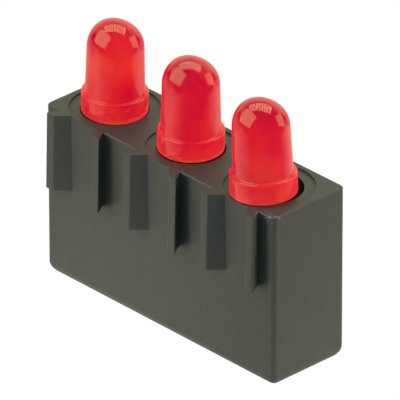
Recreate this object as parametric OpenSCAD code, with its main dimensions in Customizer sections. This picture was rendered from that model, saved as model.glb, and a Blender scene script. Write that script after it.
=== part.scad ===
/* [Housing] */
// Length of the moulded block along the row of lamps
housing_length = 28.2; // [27.8:0.1:32]
// Depth of the block from its ribbed face to its back face, ribs not counted
housing_depth = 8.3; // [7.8:0.1:10]
// Height of the block from its base to its top face
housing_height = 16.55; // [13:0.05:20]
// Radius of the four upright edges
upright_edge_radius = 0.45; // [0.2:0.05:0.8]
// Radius of the edges round the base
base_edge_radius = 1.2; // [0.6:0.1:1.4]
// Radius of the corners of the base, seen from below
base_corner_radius = 0.4; // [0.3:0.1:1.2]
// Width of the broken edges round the top face
top_edge_break = 0.1; // [0.05:0.01:0.2]

/* [Lamp seats] */
// Distance between the axes of neighbouring lamps
lamp_pitch = 9.55; // [8.4:0.05:9.9]
// Distance from the ribbed face to the lamp axes
lamp_inset = 3.8; // [3.6:0.05:4.2]
// Diameter of the shallow round recess about each lamp
recess_diameter = 7.9; // [7.7:0.05:8.1]
// Depth of the shallow round recess
recess_depth = 0.15; // [0.1:0.01:0.3]
// Depth of the lamp well below the floor of the recess
well_depth = 2.6; // [2:0.1:4]
// Gap between a lamp's rim and the wall of its well
rim_clearance = 0.06; // [0.03:0.01:0.15]

/* [Coupling ribs] */
// Length of the ribs down from the top face
rib_length = 7.2; // [5:0.1:10]
// How far the ribs stand out of the block at their top end
rib_depth = 1.1; // [0.8:0.05:1.6]
// Width over the tips of one pair of ribs
rib_pair_span = 6.6; // [6:0.1:7.4]
// Width of the flat tip of a rib
rib_tip_width = 0.92; // [0.6:0.02:1.1]
// How far the tip overhangs the root on the outside of a pair
rib_undercut = 0.65; // [0.3:0.05:0.8]
// How far the root reaches past the tip on the inside of a pair
rib_inner_run = 1; // [0.8:0.02:1.4]
// Width of the broken long edges of a rib's tip
rib_edge_break = 0.06; // [0.03:0.01:0.2]
// Mould draft of the ribs, which stand out further at their lower end, in degrees
rib_draft = 1.4; // [0.2:0.1:2]

/* [Lamps] */
// Height of a lamp from the underside of its rim to the top of its dome
lamp_height = 8.5; // [7.6:0.05:9.6]
// Diameter of the lens just above the rim
lens_base_diameter = 5.2; // [5:0.02:5.24]
// Diameter of the dome
dome_diameter = 5.02; // [4.8:0.02:5.04]
// Diameter of the rim
rim_diameter = 5.8; // [5.75:0.05:6.2]
// Thickness of the rim
rim_thickness = 1.85; // [1:0.05:2]
// Radius of the rim's upper edge
rim_edge_radius = 0.26; // [0.1:0.02:0.26]
// Distance from the lamp axis to the flat on the rim that marks the cathode
cathode_flat_distance = 2.64; // [2.62:0.02:2.7]

/* [Lamps at rest] */
// How far the first lamp sits below the floor of the recess
first_lamp_sink = 0.02; // [0.01:0.01:0.3]
// Lean of the first lamp along the row, towards the second, in degrees
first_lamp_lean = 1.4; // [0:0.1:1.6]
// Gap between the floor of the recess and the second lamp
second_lamp_gap = 0.04; // [0:0.01:0.1]
// Offset of the second lamp back along the row
second_lamp_offset_x = 0.05; // [0:0.01:0.06]
// Gap between the floor of the recess and the lowest point of the third lamp's rim
third_lamp_gap = 0.03; // [0.02:0.01:0.2]
// Offset of the third lamp along the row
third_lamp_offset_x = 0.3; // [0:0.05:0.3]
// Offset of the third lamp towards the ribbed face
third_lamp_offset_y = 0.9; // [0:0.05:0.9]
// Lean of the third lamp back along the row, in degrees
third_lamp_lean = 3.6; // [0:0.1:4]

/* [Leads] */
// Side of the square lead
lead_thickness = 0.5; // [0.4:0.02:0.6]
// Distance between a lamp's two leads
lead_pitch = 2.54; // [2:0.02:2.8]
// Gap between a lead and its channel
lead_clearance = 0.1; // [0.05:0.01:0.2]
// Radius of the lead's centre line at its bend
lead_bend_radius = 0.75; // [0.6:0.05:1.2]
// Height of the lead tail's centre line above the base
lead_tail_rise = 0.4; // [0.38:0.02:0.6]
// Length of the lead tail beyond the back face
lead_reach = 2.6; // [1.5:0.1:6]
// Length of lead moulded into the lamp
lead_embed = 1.2; // [0.8:0.1:2]
// Width of the stand-off shoulder that rests on the floor of the well
shoulder_width = 1.1; // [1:0.02:1.3]
// Height of the stand-off shoulder
shoulder_height = 0.6; // [0.4:0.05:0.9]

/* [Hidden] */
$fn = 64;

lamp_count = 3;
arc_steps = 8;
overshoot = 1;
sheet = 0.05;
plan_corner_fn = 32;

face_y = -housing_depth / 2;
back_y = housing_depth / 2;
lamp_y = face_y + lamp_inset;
recess_floor = housing_height - recess_depth;
well_floor = recess_floor - well_depth;
well_radius = rim_diameter / 2 + rim_clearance;
shoulder_top = well_floor + shoulder_height;
channel_width = lead_thickness + 2 * lead_clearance;
rib_root_depth = 0.5;
third_lamp_lift = third_lamp_gap + rim_diameter / 2 * sin(third_lamp_lean);

// Offset of each lamp from its seat at the floor of the recess, and its lean towards +X
lamp_offsets = [
    [0, 0, -first_lamp_sink],
    [-second_lamp_offset_x, 0, second_lamp_gap],
    [third_lamp_offset_x, -third_lamp_offset_y, third_lamp_lift]
];
lamp_leans = [first_lamp_lean, 0, -third_lamp_lean];

housing_colour = [0.33, 0.32, 0.29];
lamp_colour = [0.86, 0.12, 0.15];
lead_colour = [0.78, 0.78, 0.76];

function lamp_x(i) = (i - (lamp_count - 1) / 2) * lamp_pitch;
function lamp_place(i) = [lamp_x(i), lamp_y, recess_floor] + lamp_offsets[i];

// One layer of the block, drawn in from its sides by an inset, with its own corner radius
module block_layer(z, height, inset, corner) {
    translate([0, 0, z])
        linear_extrude(height)
            offset(r = corner, $fn = plan_corner_fn)
                square([
                    housing_length - 2 * (inset + corner),
                    housing_depth - 2 * (inset + corner)
                ], center = true);
}

// The block: straight walls, closed by a loft to the rounded base and to the broken top edges
module block() {
    hull() {
        for (step = [1 : arc_steps]) {
            turn = 90 * step / arc_steps;
            drawn_in = 1 - cos(turn);
            block_layer(
                base_edge_radius * (1 - sin(turn)),
                sheet,
                base_edge_radius * drawn_in,
                upright_edge_radius + (base_corner_radius - upright_edge_radius) * drawn_in
            );
        }
        block_layer(
            base_edge_radius,
            housing_height - base_edge_radius - top_edge_break,
            0,
            upright_edge_radius
        );
        block_layer(housing_height - sheet, sheet, top_edge_break, upright_edge_radius);
    }
}

// Point at a given distance from one point towards another
function towards(from, to, distance) = from + (to - from) * distance / norm(to - from);

// Cross-section of the right rib of a pair about the lamp axis, with the root at y = 0.
// The rib leans outwards: an undercut outer side, a flat tip and a sloping inner side.
module rib_section() {
    tip_outer = [rib_pair_span / 2, -rib_depth];
    tip_inner = tip_outer - [rib_tip_width, 0];
    outer_slope = [rib_undercut, -rib_depth] / rib_depth;
    inner_slope = [-rib_inner_run, rib_depth] / rib_depth;
    sunk_depth = rib_depth + rib_root_depth;
    polygon([
        tip_inner + inner_slope * sunk_depth,
        tip_outer - outer_slope * sunk_depth,
        towards(tip_outer, tip_outer - outer_slope, rib_edge_break),
        towards(tip_outer, tip_inner, rib_edge_break),
        towards(tip_inner, tip_outer, rib_edge_break),
        towards(tip_inner, tip_inner + inner_slope, rib_edge_break)
    ]);
}

// A pair of leaning ribs that together make a split dovetail.
// They tip forward by the draft and are cut square at both ends.
module rib_pair() {
    intersection() {
        for (side = [0, 1])
            mirror([side, 0, 0])
                rotate([-rib_draft, 0, 0])
                    translate([0, 0, -rib_length - overshoot])
                        linear_extrude(rib_length + 2 * overshoot)
                            rib_section();
        translate([-rib_pair_span, -housing_depth, -rib_length])
            cube([2 * rib_pair_span, 2 * housing_depth, rib_length]);
    }
}

// Path of one lead below the shoulder: down from the well, round the bend and out at the back.
// It is drawn with a given side, for the lead itself and for its channel.
module lead_path(side, tail_end) {
    bend_y = lamp_y + lead_bend_radius;
    bend_z = lead_tail_rise + lead_bend_radius;
    translate([-side / 2, lamp_y - side / 2, bend_z])
        cube([side, side, well_floor - bend_z]);
    translate([0, bend_y, bend_z])
        rotate([0, 90, 0])
            rotate([0, 0, -90])
                rotate_extrude(angle = 90)
                    bend_profile(side);
    translate([-side / 2, bend_y, lead_tail_rise - side / 2])
        cube([side, tail_end - bend_y, side]);
}

// Section of the lead at its bend radius
module bend_profile(side) {
    translate([lead_bend_radius - side / 2, -side / 2])
        square(side);
}

// Room for one lead in the block, open at the base so that the tail is pressed in
module lead_channel() {
    lead_path(channel_width, back_y + overshoot);
    translate([-channel_width / 2, lamp_y - channel_width / 2, -overshoot])
        cube([
            channel_width,
            housing_depth,
            overshoot + lead_tail_rise
        ]);
    translate([-channel_width / 2, lamp_y - channel_width / 2, well_floor - overshoot])
        cube([channel_width, channel_width, 2 * overshoot]);
}

module housing() {
    color(housing_colour)
        difference() {
            union() {
                block();
                for (i = [0 : lamp_count - 1])
                    translate([lamp_x(i), face_y, housing_height])
                        rib_pair();
            }
            for (i = [0 : lamp_count - 1])
                translate([lamp_x(i), 0, 0]) {
                    translate([0, lamp_y, recess_floor])
                        cylinder(d = recess_diameter, h = recess_depth + overshoot);
                    translate([0, lamp_y, well_floor])
                        cylinder(r = well_radius, h = well_depth + overshoot);
                    for (side = [-1, 1])
                        translate([side * lead_pitch / 2, 0, 0])
                            lead_channel();
                }
        }
}

// Half outline of the rim, with a rounded upper edge
function rim_outline() = let(rim = rim_diameter / 2) concat(
    [[0, 0], [rim, 0]],
    [for (k = [0 : arc_steps]) let(a = 90 * k / arc_steps) [
        rim - rim_edge_radius * (1 - cos(a)),
        rim_thickness - rim_edge_radius * (1 - sin(a))
    ]],
    [[0, rim_thickness]]
);

// Half section of a lamp: rim, lens with a slight moulding taper, and round dome
module lamp_section() {
    dome = dome_diameter / 2;
    dome_z = lamp_height - dome;
    polygon(rim_outline());
    polygon([
        [0, 0],
        [lens_base_diameter / 2, 0],
        [lens_base_diameter / 2, rim_thickness],
        [dome, dome_z],
        [0, dome_z]
    ]);
    intersection() {
        translate([0, dome_z])
            circle(dome);
        translate([0, dome_z])
            square(dome);
    }
}

// The moulded lamp body about its own axis, with the flat on its rim
module lamp_body() {
    difference() {
        rotate_extrude()
            lamp_section();
        translate([-cathode_flat_distance - rim_diameter, -rim_diameter, -overshoot])
            cube([rim_diameter, 2 * rim_diameter, overshoot + rim_thickness]);
    }
}

// One lamp where it sits, with sockets for the leads that are moulded into it
module lamp(i) {
    color(lamp_colour)
        difference() {
            translate(lamp_place(i))
                rotate([0, lamp_leans[i], 0])
                    lamp_body();
            for (side = [-1, 1])
                lead_top(i, side);
        }
}

// Straight upper run of a lead, from its shoulder into the underside of its lamp
module lead_top(i, side) {
    hull() {
        translate([lamp_x(i) + side * lead_pitch / 2, lamp_y, shoulder_top - sheet / 2])
            cube([lead_thickness, lead_thickness, sheet], center = true);
        translate(lamp_place(i))
            rotate([0, lamp_leans[i], 0])
                translate([side * lead_pitch / 2, 0, lead_embed])
                    cube([lead_thickness, lead_thickness, sheet], center = true);
    }
}

// One whole lead: upper run, shoulder on the floor of the well, bend and tail
module lead(i, side) {
    color(lead_colour) {
        lead_top(i, side);
        translate([lamp_x(i) + side * lead_pitch / 2, 0, 0]) {
            translate([-shoulder_width / 2, lamp_y - lead_thickness / 2, well_floor])
                cube([shoulder_width, lead_thickness, shoulder_height]);
            lead_path(lead_thickness, back_y + lead_reach);
        }
    }
}

module lamp_1() { lamp(0); }
module lamp_2() { lamp(1); }
module lamp_3() { lamp(2); }
module anode_1() { lead(0, 1); }
module anode_2() { lead(1, 1); }
module anode_3() { lead(2, 1); }
module cathode_1() { lead(0, -1); }
module cathode_2() { lead(1, -1); }
module cathode_3() { lead(2, -1); }

housing();
lamp_1();
lamp_2();
lamp_3();
anode_1();
anode_2();
anode_3();
cathode_1();
cathode_2();
cathode_3();
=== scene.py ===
import math
import bpy
from mathutils import Matrix, Vector


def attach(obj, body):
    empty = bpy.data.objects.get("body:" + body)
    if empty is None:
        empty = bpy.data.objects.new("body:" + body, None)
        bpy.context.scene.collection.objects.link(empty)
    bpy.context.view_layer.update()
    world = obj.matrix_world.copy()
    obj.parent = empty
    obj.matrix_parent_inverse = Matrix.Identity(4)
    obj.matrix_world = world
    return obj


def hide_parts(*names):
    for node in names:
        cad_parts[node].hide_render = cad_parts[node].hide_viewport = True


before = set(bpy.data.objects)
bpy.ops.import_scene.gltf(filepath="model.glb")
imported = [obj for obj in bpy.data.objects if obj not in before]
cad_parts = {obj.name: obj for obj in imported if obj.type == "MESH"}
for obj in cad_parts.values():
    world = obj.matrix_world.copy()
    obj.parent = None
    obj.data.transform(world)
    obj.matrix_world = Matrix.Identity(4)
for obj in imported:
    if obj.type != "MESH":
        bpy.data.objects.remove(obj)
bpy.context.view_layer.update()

# The camera stands well back with a long lens, to the right of the ribbed face
# and above it, so the block's long edges stay almost parallel.
aim_point = Vector((0.0001, -0.00005, 0.01047))
aim_px = (194.86, 207.8)
camera_turn = math.radians(46.66)
camera_height = math.radians(28.93)
camera_roll = math.radians(-0.05)
stand_off = 0.855
sensor_width = 36
image_px = 400
px_per_m = 11750
nearest_seen = 0.1
farthest_seen = 10

towards_camera = Vector((
    math.cos(camera_height) * math.sin(camera_turn),
    -math.cos(camera_height) * math.cos(camera_turn),
    math.sin(camera_height),
))
level_right = Vector((math.cos(camera_turn), math.sin(camera_turn), 0))
level_up = towards_camera.cross(level_right)
image_right = level_right * math.cos(camera_roll) + level_up * math.sin(camera_roll)
image_up = level_up * math.cos(camera_roll) - level_right * math.sin(camera_roll)
image_centre = (
    aim_point
    + image_right * (image_px / 2 - aim_px[0]) / px_per_m
    + image_up * (aim_px[1] - image_px / 2) / px_per_m
)
camera_axes = Matrix((image_right, image_up, towards_camera)).transposed().to_4x4()
camera_data = bpy.data.cameras.new("camera")
camera_data.sensor_width = sensor_width
camera_data.lens = px_per_m * stand_off * sensor_width / image_px
camera_data.clip_start = nearest_seen
camera_data.clip_end = farthest_seen
camera = bpy.data.objects.new("camera", camera_data)
bpy.context.collection.objects.link(camera)
camera.matrix_world = Matrix.Translation(image_centre + towards_camera * stand_off) @ camera_axes
bpy.context.scene.camera = camera
bpy.context.scene.view_settings.view_transform = "Standard"

# The studio: a dim room with a low key light at the front left, whose shadows the ribs' hollows
# show. The lamps reflect a large soft box to the left, a barred panel overhead and a small panel
# far to the right. A backdrop, a ceiling and three fills lighten the block's faces.
room_tone = (0.35, 1, 0.95, 1)
room_strength = 0.8
panel_tone = (1, 0.98, 0.64)
lit_point = Vector((0, 0, 0.02))
bar_count = 9
bar_pitch = 0.04

room = bpy.data.worlds.new("studio")
bpy.context.scene.world = room
room.use_nodes = True
room_light = room.node_tree.nodes["Background"]
room_light.inputs["Color"].default_value = room_tone
room_light.inputs["Strength"].default_value = room_strength
room.cycles_visibility.glossy = False


def soft_panel(
    name, towards, size, radiance, distance=0.3, aside=0, turn=0, diffuse=True, glossy=True
):
    """Hangs a soft panel towards given shares of the camera's right, up and forward."""
    right, up, forward = towards
    direction = (image_right * right + image_up * up + towards_camera * forward).normalized()
    sideways = image_up.cross(direction).normalized()
    facing_in = Matrix((sideways, direction.cross(sideways), direction)).transposed().to_4x4()
    width, height = size
    panel_light = bpy.data.lights.new(name, "AREA")
    panel_light.shape = "RECTANGLE"
    panel_light.size = width
    panel_light.size_y = height
    panel_light.color = panel_tone
    panel_light.energy = radiance * math.pi * width * height
    panel = bpy.data.objects.new(name, panel_light)
    bpy.context.collection.objects.link(panel)
    panel.matrix_world = (
        Matrix.Translation(lit_point + direction * distance)
        @ facing_in
        @ Matrix.Rotation(math.radians(turn), 4, "Z")
        @ Matrix.Translation((aside, 0, 0))
    )
    panel.visible_camera = False
    panel.visible_diffuse = diffuse
    panel.visible_glossy = glossy


soft_panel(
    "key_light", towards=(-0.932, -0.05, 0.357), size=(0.07, 0.36), radiance=8.7,
    turn=-27, glossy=False,
)
soft_panel(
    "left_box", towards=(-0.753, 0.445, 0.485), size=(0.36, 0.32), radiance=2.7,
    turn=-24, diffuse=False,
)
soft_panel("right_panel", towards=(0.94, 0.334, 0.06), size=(0.17, 0.19), radiance=2.2)
soft_panel("backdrop", towards=(0, 0.59, -0.81), size=(1.4, 0.56), radiance=1.0, distance=0.6)
soft_panel(
    "ceiling", towards=(0, 0.945, -0.326), size=(2, 0.24), radiance=0.6,
    distance=0.6, diffuse=False,
)
soft_panel("end_fill", towards=(0.9, -0.12, 0.42), size=(0.3, 0.3), radiance=4.1, glossy=False)
soft_panel("front_fill", towards=(0.35, 0.05, 0.93), size=(0.3, 0.3), radiance=0.6, glossy=False)
soft_panel("top_fill", towards=(-0.65, 0.7, -0.35), size=(0.3, 0.3), radiance=0.1, glossy=False)
for bar in range(bar_count):
    soft_panel(
        f"top_bar_{bar}", towards=(0.07, 0.987, 0.158), size=(0.027, 0.2), radiance=4.7,
        aside=(bar - (bar_count - 1) / 2) * bar_pitch, turn=-22, diffuse=False,
    )

# A cream card lies on the whole table and darkens towards the camera. The object is lit by it
# and reflects it, and the camera doesn't see it.
card_side = 2
card_rise = 0.0005
card_turn = camera_turn + math.radians(14)
card_far = 0.04
card_near = -0.05
card_cream = (1, 0.98, 0.76)
card_tones = (
    (0.0, 0.5), (0.13, 0.5), (0.22, 0.75), (0.36, 1.0), (0.44, 0.95),
    (0.56, 0.75), (0.67, 0.52), (0.76, 0.38), (0.87, 0.1), (1.0, 0.02),
)


def start_finish(name):
    """Starts a material, and gives it with its nodes and its shader."""
    finish = bpy.data.materials.new(name)
    finish.use_nodes = True
    return finish, finish.node_tree, finish.node_tree.nodes["Principled BSDF"]


def lay_sheet(name, finish_name, side, height, turn=0):
    """Lays a square sheet that glows by itself, and gives it with its nodes and its glow."""
    bpy.ops.object.select_all(action="DESELECT")
    bpy.ops.mesh.primitive_plane_add(size=side, location=(0, 0, height), rotation=(0, 0, turn))
    sheet = bpy.context.object
    sheet.name = name
    sheet.visible_shadow = False
    finish, tree, shader = start_finish(finish_name)
    tree.nodes.remove(shader)
    glow = tree.nodes.new("ShaderNodeEmission")
    glow.inputs["Strength"].default_value = 1
    tree.links.new(glow.outputs["Emission"], tree.nodes["Material Output"].inputs["Surface"])
    sheet.data.materials.append(finish)
    return sheet, tree, glow


def read_place(tree):
    """Gives the place on a piece, in the frame that all pieces share."""
    return tree.nodes.new("ShaderNodeTexCoord").outputs["Object"]


def read_axis(tree, place, axis):
    """Gives one axis of a place."""
    parts = tree.nodes.new("ShaderNodeSeparateXYZ")
    tree.links.new(place, parts.inputs["Vector"])
    return parts.outputs[axis]


def add_range(tree, value, limits, mapped_to=(0, 1), easing="LINEAR"):
    """Maps a value between two limits to another range."""
    mapped = tree.nodes.new("ShaderNodeMapRange")
    mapped.interpolation_type = easing
    mapped.inputs["From Min"].default_value = limits[0]
    mapped.inputs["From Max"].default_value = limits[1]
    mapped.inputs["To Min"].default_value = mapped_to[0]
    mapped.inputs["To Max"].default_value = mapped_to[1]
    tree.links.new(value, mapped.inputs["Value"])
    return mapped.outputs["Result"]


def add_ramp(tree, share, tones):
    """Turns a share into a colour that runs through tones, each at its position."""
    ramp = tree.nodes.new("ShaderNodeValToRGB")
    stops = ramp.color_ramp.elements
    while len(stops) < len(tones):
        stops.new(0.5)
    for stop, (position, tone) in zip(stops, tones):
        stop.position = position
        stop.color = (*tone, 1)
    tree.links.new(share, ramp.inputs["Fac"])
    return ramp.outputs["Color"]


cream_card, card_tree, card_glow = lay_sheet(
    "cream_card", "card_paint", card_side, card_rise, card_turn
)
cream_card.visible_camera = False
card_nearness = add_range(
    card_tree, read_axis(card_tree, read_place(card_tree), "Y"), (card_far, card_near)
)
card_tone = add_ramp(card_tree, card_nearness, [
    (position, [tone * cream for cream in card_cream]) for position, tone in card_tones
])
card_tree.links.new(card_tone, card_glow.inputs["Color"])

# The table: one sheet of plain white paper, lit so strongly that it shows no shadow. It lies just
# under the base of the block, and only the camera sees it.
paper_side = 6
paper_drop = 0.00002
paper_white = (1, 1, 1, 1)

floor, paper_tree, paper_glow = lay_sheet("floor", "paper", paper_side, -paper_drop)
floor.visible_diffuse = False
floor.visible_glossy = False
paper_glow.inputs["Color"].default_value = paper_white

# The moulded block: one piece of dark olive-grey plastic with a satin grain, its top edge broken,
# one corner chipped. Ribs lean out of its front in pairs, wells in its top take the lamps, with
# painted shade in them, and channels lead the wires to its back.
block_length = 0.0282
block_depth = 0.0083
block_height = 0.01655
half_length = block_length / 2
half_depth = block_depth / 2
upright_edge_radius = 0.00045
base_edge_radius = 0.0012
top_edge_break = 0.0001
mould_edge_radius = 0.000035
corner_steps = 8
near = 0.00001
merging = near / 10
facing = 0.9
flat_angle = math.radians(0.2)
mould_edge_angle = math.radians(35)
block_smooth_angle = math.radians(40)


def pick_only(piece):
    """Leaves a piece alone selected, and active."""
    bpy.ops.object.select_all(action="DESELECT")
    bpy.context.view_layer.objects.active = piece
    piece.select_set(True)


def apply_places():
    """Moves the place and size of the selected pieces into their meshes."""
    bpy.ops.object.transform_apply(location=True, rotation=True, scale=True)


def add_box(name, low, high):
    """Adds a box between two corners, its place in its mesh, and leaves it alone selected."""
    bpy.ops.object.select_all(action="DESELECT")
    bpy.ops.mesh.primitive_cube_add(
        size=1,
        location=[(a + b) / 2 for a, b in zip(low, high)],
        scale=[b - a for a, b in zip(low, high)],
    )
    piece = bpy.context.object
    piece.name = name
    apply_places()
    return piece


def select_where(piece, domain, test):
    """Selects, in edit mode, the vertices, edges or faces of a piece that pass a test."""
    bpy.ops.object.mode_set(mode="EDIT")
    bpy.ops.mesh.select_mode(type=domain)
    bpy.ops.mesh.select_all(action="DESELECT")
    bpy.ops.object.mode_set(mode="OBJECT")
    parts = {"VERT": piece.data.vertices, "EDGE": piece.data.edges, "FACE": piece.data.polygons}
    for part in parts[domain]:
        part.select = test(part)
    bpy.ops.object.mode_set(mode="EDIT")


def edge_ends(piece, edge):
    """The places of an edge's two ends."""
    return [piece.data.vertices[number].co for number in edge.vertices]


def draw_face(half_before, half_after, step):
    """Extrudes the selected level face by a step and draws its half length and depth in or out."""
    bpy.ops.mesh.extrude_region_move(TRANSFORM_OT_translate={"value": (0, 0, step)})
    bpy.ops.transform.resize(
        value=(half_after[0] / half_before[0], half_after[1] / half_before[1], 1),
        center_override=(0, 0, 0),
    )


def turn_faces_out():
    """Merges the active piece's doubles, turns its faces outwards and leaves edit mode."""
    bpy.ops.object.mode_set(mode="EDIT")
    bpy.ops.mesh.select_all(action="SELECT")
    bpy.ops.mesh.remove_doubles(threshold=merging)
    bpy.ops.mesh.normals_make_consistent(inside=False)
    bpy.ops.object.mode_set(mode="OBJECT")


block = add_box(
    "moulded_block",
    (-half_length, -half_depth, base_edge_radius),
    (half_length, half_depth, block_height - top_edge_break),
)


def is_upright(edge):
    """Whether an edge of the block runs straight up."""
    a, b = edge_ends(block, edge)
    return abs(a.x - b.x) < near and abs(a.y - b.y) < near


select_where(block, "EDGE", is_upright)
bpy.ops.mesh.bevel(
    offset=upright_edge_radius, offset_type="OFFSET", segments=corner_steps, affect="EDGES"
)
select_where(block, "FACE", lambda face: face.normal.z > facing)
draw_face(
    (half_length, half_depth),
    (half_length - top_edge_break, half_depth - top_edge_break),
    top_edge_break,
)
select_where(block, "FACE", lambda face: face.normal.z < -facing)
half_before = (half_length, half_depth)
height_before = base_edge_radius
for step in range(1, corner_steps + 1):
    turn = math.pi / 2 * step / corner_steps
    inset = base_edge_radius * (1 - math.cos(turn))
    half_after = (half_length - inset, half_depth - inset)
    height = base_edge_radius * (1 - math.sin(turn))
    draw_face(half_before, half_after, height - height_before)
    half_before, height_before = half_after, height
bpy.ops.object.mode_set(mode="OBJECT")

# The block's ribs: bars with their roots sunk in the block, leaning outwards to flat tips with
# broken edges. The mould's draft carries their lower ends further out, they are cut square at
# both ends, and the outer edge of the last one is worn.
lamp_pitch = 0.00955
lamp_columns = (-lamp_pitch, 0, lamp_pitch)
rib_length = 0.0072
rib_depth = 0.0011
rib_tip_outer = 0.0033
rib_tip_width = 0.00092
rib_undercut = 0.00065
rib_inner_run = 0.001
rib_root_depth = 0.0005
rib_draft = math.radians(1.4)
rib_edge_break = 0.0001
worn_edge_break = 0.0002
break_steps = 2

rib_reach = rib_depth + rib_root_depth
rib_tip_inner = rib_tip_outer - rib_tip_width
rib_root_outer = rib_tip_outer - rib_undercut * rib_reach / rib_depth
rib_root_inner = rib_tip_inner - rib_inner_run * rib_reach / rib_depth


def copy_piece(piece):
    """Copies a piece with a mesh of its own."""
    copied = piece.copy()
    copied.data = piece.data.copy()
    bpy.context.collection.objects.link(copied)
    return copied


def join_pieces(pieces):
    """Joins pieces into the first one of them."""
    bpy.ops.object.select_all(action="DESELECT")
    for piece in pieces:
        piece.select_set(True)
    bpy.context.view_layer.objects.active = pieces[0]
    bpy.ops.object.join()
    return pieces[0]


def combine(piece, tool, operation):
    """Adds a tool piece to a piece, or cuts it away, and removes the tool."""
    cut = piece.modifiers.new("combine", "BOOLEAN")
    cut.object = tool
    cut.operation = operation
    cut.solver = "MANIFOLD"
    pick_only(piece)
    bpy.ops.object.modifier_apply(modifier="combine")
    bpy.data.objects.remove(tool)


rib = add_box(
    "rib",
    (rib_tip_inner, -half_depth - rib_depth, block_height - rib_length),
    (rib_tip_outer, -half_depth + rib_root_depth, block_height),
)
select_where(
    rib, "VERT", lambda point: point.co.y > -half_depth and point.co.x < rib_tip_inner + near
)
bpy.ops.transform.translate(value=(rib_root_inner - rib_tip_inner, 0, 0))
select_where(
    rib, "VERT", lambda point: point.co.y > -half_depth and point.co.x > rib_tip_outer - near
)
bpy.ops.transform.translate(value=(rib_root_outer - rib_tip_outer, 0, 0))
select_where(rib, "VERT", lambda point: point.co.z < block_height - rib_length / 2)
bpy.ops.transform.translate(value=(0, -rib_length * math.tan(rib_draft), 0))
bpy.ops.object.mode_set(mode="OBJECT")
ribs = []
for column in lamp_columns:
    for side in (1, -1):
        copied = copy_piece(rib)
        pick_only(copied)
        worn = column == lamp_pitch and side == 1
        for edge_x, edge_break in (
            (rib_tip_inner, rib_edge_break),
            (rib_tip_outer, worn_edge_break if worn else rib_edge_break),
        ):
            select_where(copied, "EDGE", lambda edge: all(
                end.y < -half_depth - near and abs(end.x - edge_x) < near
                for end in edge_ends(copied, edge)
            ))
            bpy.ops.mesh.bevel(
                offset=edge_break, offset_type="OFFSET", segments=break_steps, affect="EDGES"
            )
            bpy.ops.object.mode_set(mode="OBJECT")
        copied.data.transform(
            Matrix.Translation((column, 0, 0)) @ Matrix.Diagonal((side, 1, 1, 1))
        )
        ribs.append(copied)
bpy.data.objects.remove(rib)
all_ribs = join_pieces(ribs)
turn_faces_out()
combine(block, all_ribs, "UNION")

# The block's wells: each takes the rim of one lamp, inside a shallow round recess that runs out
# through the ribbed face.
lamp_row_y = -0.00035
recess_radius = 0.00395
recess_depth = 0.00015
recess_floor = block_height - recess_depth
well_radius = 0.00296
well_depth = 0.0026
well_floor = recess_floor - well_depth
well_sides = 96
cut_past = 0.001


def cut_round(radius, low):
    """Cuts a round hole on each lamp's axis, from a height up through the block's top."""
    high = block_height + cut_past
    cutters = []
    for column in lamp_columns:
        bpy.ops.object.select_all(action="DESELECT")
        bpy.ops.mesh.primitive_cylinder_add(
            vertices=well_sides, radius=radius, depth=high - low,
            location=(column, lamp_row_y, (low + high) / 2),
        )
        apply_places()
        cutters.append(bpy.context.object)
    combine(block, join_pieces(cutters), "DIFFERENCE")


cut_round(recess_radius, recess_floor)
cut_round(well_radius, well_floor)

# The block's lead channels: two to a lamp, from the well's floor down through the block and out
# of the foot of its back, open along the base. The block's edges are then softened as a mould
# leaves them.
lead_pitch = 0.00254
channel_width = 0.0007
lead_bend_radius = 0.00075
lead_tail_rise = 0.0004


def draw_lead(side, top, tail_end):
    """A square bar that goes down from a height, round the bend and out along Y to its tail."""
    bend_y = lamp_row_y + lead_bend_radius
    bend_z = lead_tail_rise + lead_bend_radius
    bpy.ops.object.select_all(action="DESELECT")
    bpy.ops.mesh.primitive_plane_add(size=side, location=(0, lamp_row_y, top))
    apply_places()
    bpy.ops.object.mode_set(mode="EDIT")
    bpy.ops.mesh.select_all(action="SELECT")
    bpy.ops.mesh.extrude_region_move(TRANSFORM_OT_translate={"value": (0, 0, bend_z - top)})
    bpy.ops.mesh.spin(
        steps=corner_steps, angle=math.pi / 2, center=(0, bend_y, bend_z), axis=(-1, 0, 0)
    )
    bpy.ops.mesh.extrude_region_move(
        TRANSFORM_OT_translate={"value": (0, tail_end - bend_y, 0)}
    )
    turn_faces_out()
    return bpy.context.object


for slot_piece in (
    draw_lead(channel_width, well_floor + cut_past, half_depth + cut_past),
    add_box(
        "channel_mouth",
        (-channel_width / 2, lamp_row_y - channel_width / 2, -cut_past),
        (channel_width / 2, half_depth + cut_past, lead_tail_rise),
    ),
):
    cutters = []
    for column in lamp_columns:
        for side in (1, -1):
            cutter = copy_piece(slot_piece)
            cutter.data.transform(Matrix.Translation((column + side * lead_pitch / 2, 0, 0)))
            cutters.append(cutter)
    bpy.data.objects.remove(slot_piece)
    combine(block, join_pieces(cutters), "DIFFERENCE")

bpy.ops.object.mode_set(mode="EDIT")
bpy.ops.mesh.select_all(action="SELECT")
bpy.ops.mesh.remove_doubles(threshold=merging)
bpy.ops.mesh.dissolve_limited(angle_limit=flat_angle)
turn_faces_out()
soften = block.modifiers.new("soften", "BEVEL")
soften.width = mould_edge_radius
soften.segments = break_steps
soften.limit_method = "ANGLE"
soften.angle_limit = mould_edge_angle
soften.use_clamp_overlap = False
pick_only(block)
bpy.ops.object.modifier_apply(modifier="soften")
bpy.ops.object.shade_smooth_by_angle(angle=block_smooth_angle)
flatten = block.modifiers.new("flatten", "WEIGHTED_NORMAL")
flatten.keep_sharp = True
flatten.weight = 100
bpy.ops.object.modifier_apply(modifier="flatten")
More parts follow.
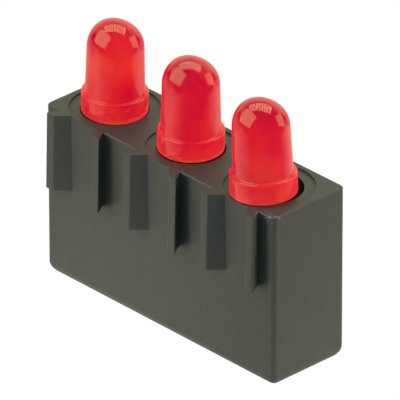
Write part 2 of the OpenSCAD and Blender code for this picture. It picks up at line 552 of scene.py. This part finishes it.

# The block's finish: dark olive-grey plastic with a fine mottle and a satin grain. Small pale
# chips show on the worn corner by the last rib, and painted shade darkens the wells.
block_dark = (0.0298, 0.0257, 0.0290, 1)
block_pale = (0.0625, 0.0542, 0.0622, 1)
block_mottle_scale = 5200
block_grain_scale = 9000
block_grain_strength = 0.25
block_grain_depth = 0.00002
worn_corner = (0.0137, -0.0042, 0.0165)
worn_squeeze = (1, 2.2, 3.5)
worn_limits = (0.0021, 0.001)
chip_scale = 2600
chip_limits = (0.53, 0.6)
chip_tone = (0.15, 0.14, 0.14, 1)
well_painted_shade = (0.004, 0.014, 0.015, 1)


def set_or_link(tree, value, socket):
    """Sets a socket to a fixed value, or links another socket to it."""
    if isinstance(value, bpy.types.NodeSocket):
        tree.links.new(value, socket)
    else:
        socket.default_value = value


def add_noise(tree, place, scale, detail, distortion=0):
    """Gives the value of a noise at a place."""
    noise = tree.nodes.new("ShaderNodeTexNoise")
    noise.inputs["Scale"].default_value = scale
    noise.inputs["Detail"].default_value = detail
    noise.inputs["Distortion"].default_value = distortion
    tree.links.new(place, noise.inputs["Vector"])
    return noise.outputs["Fac"]


def add_scaling(tree, place, scale):
    """Scales a place along its axes."""
    scaled = tree.nodes.new("ShaderNodeMapping")
    scaled.inputs["Scale"].default_value = scale
    tree.links.new(place, scaled.inputs["Vector"])
    return scaled.outputs["Vector"]


def add_distance(tree, place, centre):
    """Measures how far a place is from a fixed centre."""
    away = tree.nodes.new("ShaderNodeVectorMath")
    away.operation = "DISTANCE"
    away.inputs[1].default_value = centre
    tree.links.new(place, away.inputs[0])
    return away.outputs["Value"]


def add_math(tree, operation, first, second):
    """Works out a number from two."""
    worked = tree.nodes.new("ShaderNodeMath")
    worked.operation = operation
    set_or_link(tree, first, worked.inputs[0])
    set_or_link(tree, second, worked.inputs[1])
    return worked.outputs["Value"]


def add_mix(tree, share, first, second, blend="MIX"):
    """Mixes a share of a second colour into a first one."""
    mixed = tree.nodes.new("ShaderNodeMix")
    mixed.data_type = "RGBA"
    mixed.blend_type = blend
    set_or_link(tree, share, mixed.inputs["Factor"])
    set_or_link(tree, first, mixed.inputs["A"])
    set_or_link(tree, second, mixed.inputs["B"])
    return mixed.outputs["Result"]


block_plastic, block_tree, block_shader = start_finish("block_plastic")
block_shader.inputs["Roughness"].default_value = 0.45
block_shader.inputs["Specular IOR Level"].default_value = 0.42
block_place = read_place(block_tree)
block_mottle = add_noise(block_tree, block_place, block_mottle_scale, detail=3)
block_tone = add_mix(block_tree, block_mottle, block_dark, block_pale)

corner_away = add_distance(
    block_tree,
    add_scaling(block_tree, block_place, worn_squeeze),
    [corner * squeeze for corner, squeeze in zip(worn_corner, worn_squeeze)],
)
chips = add_noise(block_tree, block_place, chip_scale, detail=2)
wear = add_math(
    block_tree, "MULTIPLY",
    add_range(block_tree, corner_away, worn_limits),
    add_range(block_tree, chips, chip_limits),
)
block_tone = add_mix(block_tree, wear, block_tone, chip_tone)

block_plan = add_scaling(block_tree, block_place, (1, 1, 0))
# Painted shade: inside each well the plastic is coloured dark teal, for the shade deep in it.
for column in lamp_columns:
    well_away = add_distance(block_tree, block_plan, (column, lamp_row_y, 0))
    in_shaded_well = add_math(block_tree, "LESS_THAN", well_away, well_radius + mould_edge_radius)
    block_tone = add_mix(block_tree, in_shaded_well, block_tone, well_painted_shade)
block_tree.links.new(block_tone, block_shader.inputs["Base Color"])

block_bump = block_tree.nodes.new("ShaderNodeBump")
block_bump.inputs["Strength"].default_value = block_grain_strength
block_bump.inputs["Distance"].default_value = block_grain_depth
block_tree.links.new(
    add_noise(block_tree, block_place, block_grain_scale, detail=2), block_bump.inputs["Height"]
)
block_tree.links.new(block_bump.outputs["Normal"], block_shader.inputs["Normal"])
block.data.materials.clear()
block.data.materials.append(block_plastic)
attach(block, "root")
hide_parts("housing")

# The three lamps: 5 mm domes of red diffused epoxy, each cast in one piece with its rim.
# The rim's flat marks the cathode. The first and third lamps lean a little on their leads.
lamp_height = 0.0085
lens_base_radius = 0.00258
dome_radius = 0.00248
dome_centre = lamp_height - dome_radius
dome_skew = (-0.00014, -0.00014, 0)
dome_skew_rate = 1.6
rim_radius = 0.0029
rim_thickness = 0.00185
rim_edge_radius = 0.00017
rim_foot_radius = 0.00008
root_radius = 0.00013
flat_distance = 0.00264
lens_segments = 96
dome_rings = 24
rim_steps = 5
lamp_smooth_angle = math.radians(30)

bpy.ops.object.select_all(action="DESELECT")
bpy.ops.mesh.primitive_uv_sphere_add(
    segments=lens_segments, ring_count=2 * dome_rings, radius=dome_radius,
    location=(0, 0, dome_centre),
)
lamp_form = bpy.context.object
apply_places()


def draw_ring(radius_before, radius, step):
    """Extrudes the open ring to a new radius and along the axis by a step."""
    bpy.ops.mesh.extrude_edges_move(TRANSFORM_OT_translate={"value": (0, 0, step)})
    scale = radius / radius_before
    bpy.ops.transform.resize(value=(scale, scale, 1), center_override=(0, 0, 0))


skew_before = 0
for step in range(1, dome_rings):
    ring_height = dome_centre + dome_radius * math.sin(math.pi / 2 * step / dome_rings)
    skew = min(1, dome_skew_rate * step / dome_rings) ** 2
    select_where(lamp_form, "VERT", lambda point: point.co.z > ring_height - near)
    bpy.ops.transform.translate(value=[shift * (skew - skew_before) for shift in dome_skew])
    bpy.ops.object.mode_set(mode="OBJECT")
    skew_before = skew
select_where(lamp_form, "VERT", lambda point: point.co.z < dome_centre - near)
bpy.ops.mesh.delete(type="VERT")
select_where(lamp_form, "VERT", lambda point: point.co.z < dome_centre + near)
quarter = [math.pi / 2 * step / rim_steps for step in range(rim_steps + 1)]
outline = [(dome_radius, dome_centre)]
outline += [(
    lens_base_radius + root_radius * (1 - math.cos(turn)),
    rim_thickness + root_radius * (1 - math.sin(turn)),
) for turn in quarter]
outline += [(
    rim_radius - rim_edge_radius * (1 - math.sin(turn)),
    rim_thickness - rim_edge_radius * (1 - math.cos(turn)),
) for turn in quarter]
outline += [(
    rim_radius - rim_foot_radius * (1 - math.cos(turn)),
    rim_foot_radius * (1 - math.sin(turn)),
) for turn in quarter]
for before, after in zip(outline, outline[1:]):
    draw_ring(before[0], after[0], after[1] - before[1])
bpy.ops.mesh.edge_face_add()
select_where(lamp_form, "FACE", lambda face: face.center.z < rim_thickness + root_radius)
bpy.ops.mesh.bisect(
    plane_co=(-flat_distance, 0, 0), plane_no=(-1, 0, 0),
    use_fill=True, clear_outer=True, threshold=near / 100,
)
turn_faces_out()
bpy.ops.object.shade_smooth_by_angle(angle=lamp_smooth_angle)
select_where(lamp_form, "FACE", lambda face: face.center.x < near - flat_distance)
bpy.ops.mesh.faces_shade_flat()
bpy.ops.object.mode_set(mode="OBJECT")

# The lamps' epoxy: red, cloudy and glossy. It scatters light under its surface, and a painted red
# glow stands for the light that it guides from all sides, deepest in the dome and palest at the
# foot.
epoxy_thin = (0.10, 0.001, 0.022, 1)
epoxy_thick = (0.135, 0.006, 0.022, 1)
epoxy_specular_tint = (0.85, 1, 0.9, 1)
cloud_scale = 330
cloud_limits = (0.36, 0.58)
thin_tint = (0.90, 0.5, 1.05, 1)
thick_tint = (1.0, 1.25, 0.9, 1)
lamp_foot = 0.0164
glow_tones = (
    (0.0, (0.70, 0.050, 0.020)),
    (0.05, (0.64, 0.012, 0.014)),
    (0.2, (0.62, 0.005, 0.010)),
    (0.26, (0.61, 0.006, 0.011)),
    (0.65, (0.59, 0.006, 0.011)),
    (0.85, (0.54, 0.005, 0.010)),
    (1.0, (0.48, 0.004, 0.009)),
)
# Spots where the painted glow is made paler or deeper, each with its centre, reach and tint. They
# stand partly for the epoxy's own clouds and partly for painted light, as the pale spot that
# paints a broad highlight on the first lamp's left side.
glow_spots = (
    ((-0.0088, -0.0018, 0.0242), 0.0030, (1.12, 1.4, 1.0)),
    ((-0.0075, -0.0017, 0.0222), 0.0036, (1.2, 3.4, 0.75)),
    ((-0.0072, -0.0012, 0.0197), 0.0018, (0.95, 0.3, 1.0)),
    ((0.0024, -0.0005, 0.0196), 0.0020, (1.05, 3.0, 1.0)),
    ((0.0116, -0.0029, 0.0188), 0.0036, (1.0, 4.3, 1.05)),
    ((-0.0113, -0.0022, 0.0212), 0.0027, (0.93, 8.0, 2.0)),
)
# Painted glints low in the rims: pale streaks mixed into the glow.
streak_stretch = (1, 1, 2.4)
streak_scale = 620
streak_limits = (0.57, 0.72)
glint_tone = (0.66, 0.09, 0.035, 1)


def mix_epoxy(name, roughness):
    """Mixes one lamp's epoxy, with clouds and painted glow in its lens and painted glints low in
    its rim.
    """
    epoxy, tree, shader = start_finish(name)
    shader.inputs["Roughness"].default_value = roughness
    shader.inputs["IOR"].default_value = 1.5
    shader.inputs["Specular Tint"].default_value = epoxy_specular_tint
    shader.inputs["Subsurface Weight"].default_value = 1
    shader.inputs["Subsurface Radius"].default_value = (1, 0.1, 0.1)
    shader.inputs["Subsurface Scale"].default_value = 0.008
    shader.inputs["Emission Strength"].default_value = 1
    place = read_place(tree)
    height = read_axis(tree, place, "Z")
    cloud = add_noise(tree, place, cloud_scale, detail=4, distortion=0.6)
    thickness = add_range(tree, cloud, cloud_limits)
    base = add_mix(tree, thickness, epoxy_thin, epoxy_thick)
    tree.links.new(base, shader.inputs["Base Color"])

    rise = add_range(tree, height, (lamp_foot, lamp_foot + lamp_height))
    tint = add_mix(tree, thickness, thin_tint, thick_tint)
    glow = add_mix(tree, 1, add_ramp(tree, rise, glow_tones), tint, blend="MULTIPLY")
    # Each spot makes the painted glow paler or deeper around its centre.
    for centre, radius, spot_tint in glow_spots:
        away = add_distance(tree, place, centre)
        share = add_range(tree, away, (radius, 0), easing="SMOOTHSTEP")
        glow = add_mix(tree, share, glow, (*spot_tint, 1), blend="MULTIPLY")

    # Painted glints: pale streaks of glow near the rim's foot, along the epoxy's flow marks.
    flow = add_noise(
        tree, add_scaling(tree, place, streak_stretch), streak_scale, detail=3, distortion=2
    )
    glint_share = add_math(
        tree, "MULTIPLY",
        add_range(tree, flow, streak_limits),
        add_range(tree, height, (lamp_foot + rim_thickness, lamp_foot)),
    )
    glow = add_mix(tree, glint_share, glow, glint_tone)
    tree.links.new(glow, shader.inputs["Emission Color"])
    return epoxy


# The three lamps in their wells, each with its place, its lean in degrees and its roughness. The
# middle one is upright and duller than the others, and the last one stands off its seat.
lamp_stands = (
    ((-0.00955, -0.00035, 0.01641), 1.4, 0.05),
    ((-0.00005, -0.00035, 0.01644), 0, 0.13),
    ((0.00985, -0.00125, 0.01651), -3.6, 0.05),
)
for number, (place, lean, roughness) in enumerate(lamp_stands, start=1):
    lamp = copy_piece(lamp_form)
    lamp.name = f"lamp_body_{number}"
    lamp.data.transform(Matrix.Translation(place) @ Matrix.Rotation(math.radians(lean), 4, "Y"))
    lamp.data.materials.append(mix_epoxy(f"lamp_epoxy_{number}", roughness))
    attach(lamp, "root")
    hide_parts(f"lamp_{number}")
bpy.data.objects.remove(lamp_form)

# The six leads: square tinned steel wire, two to a lamp. Each is cast into its lamp, stands on a
# punched shoulder on the well's floor, and is bent to leave through the back face. The anode is
# the lead further along the row, and the cathode is on the side of the rim's flat.
lead_thickness = 0.0005
lead_embed = 0.0012
lead_tail_end = half_depth + 0.0026
lead_tip = 0.0003
lead_tip_scale = 0.55
lead_edge_radius = 0.00005
lead_edge_angle = math.radians(40)
lead_smooth_angle = math.radians(35)
shoulder_width = 0.0011
shoulder_height = 0.0006
shoulder_top = well_floor + shoulder_height
tin_dull = (0.6, 0.6, 0.58, 1)
tin_bright = (0.82, 0.82, 0.8, 1)
tin_mottle_scale = 3000
tin_roughness = (0.25, 0.5)

lead_form = draw_lead(lead_thickness, well_floor, lead_tail_end - lead_tip)
lead_form.name = "lead_form"
select_where(
    lead_form, "FACE", lambda face: face.normal.y > facing and face.center.y > half_depth
)
bpy.ops.mesh.extrude_region_move(TRANSFORM_OT_translate={"value": (0, lead_tip, 0)})
bpy.ops.transform.resize(
    value=(lead_tip_scale, 1, lead_tip_scale), center_override=(0, lead_tail_end, lead_tail_rise)
)
select_where(
    lead_form, "FACE", lambda face: face.normal.z > facing and face.center.z > well_floor - near
)
bpy.ops.mesh.extrude_region_move(TRANSFORM_OT_translate={"value": (0, 0, shoulder_height)})
select_where(
    lead_form, "FACE", lambda face: abs(face.normal.x) > facing and face.center.z > well_floor
)
bpy.ops.mesh.extrude_region_shrink_fatten(
    TRANSFORM_OT_shrink_fatten={"value": (shoulder_width - lead_thickness) / 2}
)
select_where(
    lead_form, "FACE",
    lambda face: face.normal.z > facing and face.center.z > shoulder_top - near
    and abs(face.center.x) < near,
)
bpy.ops.mesh.extrude_region_move(TRANSFORM_OT_translate={"value": (0, 0, lead_embed)})
turn_faces_out()

lead_tin, tin_tree, tin_shader = start_finish("lead_tin")
tin_shader.inputs["Metallic"].default_value = 1
tin_mottle = add_noise(tin_tree, read_place(tin_tree), tin_mottle_scale, detail=3)
tin_tree.links.new(
    add_mix(tin_tree, tin_mottle, tin_dull, tin_bright), tin_shader.inputs["Base Color"]
)
tin_tree.links.new(
    add_range(tin_tree, tin_mottle, (0, 1), tin_roughness), tin_shader.inputs["Roughness"]
)
lead_form.data.materials.append(lead_tin)

for number, (place, lean, roughness) in enumerate(lamp_stands, start=1):
    for node_name, side in ((f"anode_{number}", 1), (f"cathode_{number}", -1)):
        lead = copy_piece(lead_form)
        lead.name = f"wire_{node_name}"
        foot = Vector((lamp_columns[number - 1] + side * lead_pitch / 2, 0, 0))
        lead.data.transform(Matrix.Translation(foot))
        cast_in = Vector(place) + Matrix.Rotation(math.radians(lean), 3, "Y") @ Vector(
            (side * lead_pitch / 2, 0, lead_embed)
        )
        pick_only(lead)
        select_where(lead, "VERT", lambda point: point.co.z > shoulder_top + lead_embed / 2)
        bpy.ops.transform.translate(
            value=cast_in - Vector((foot.x, lamp_row_y, shoulder_top + lead_embed))
        )
        bpy.ops.object.mode_set(mode="OBJECT")
        rounding = lead.modifiers.new("rounding", "BEVEL")
        rounding.width = lead_edge_radius
        rounding.segments = break_steps
        rounding.limit_method = "ANGLE"
        rounding.angle_limit = lead_edge_angle
        bpy.ops.object.modifier_apply(modifier="rounding")
        bpy.ops.object.shade_smooth_by_angle(angle=lead_smooth_angle)
        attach(lead, "root")
        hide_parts(node_name)
bpy.data.objects.remove(lead_form)
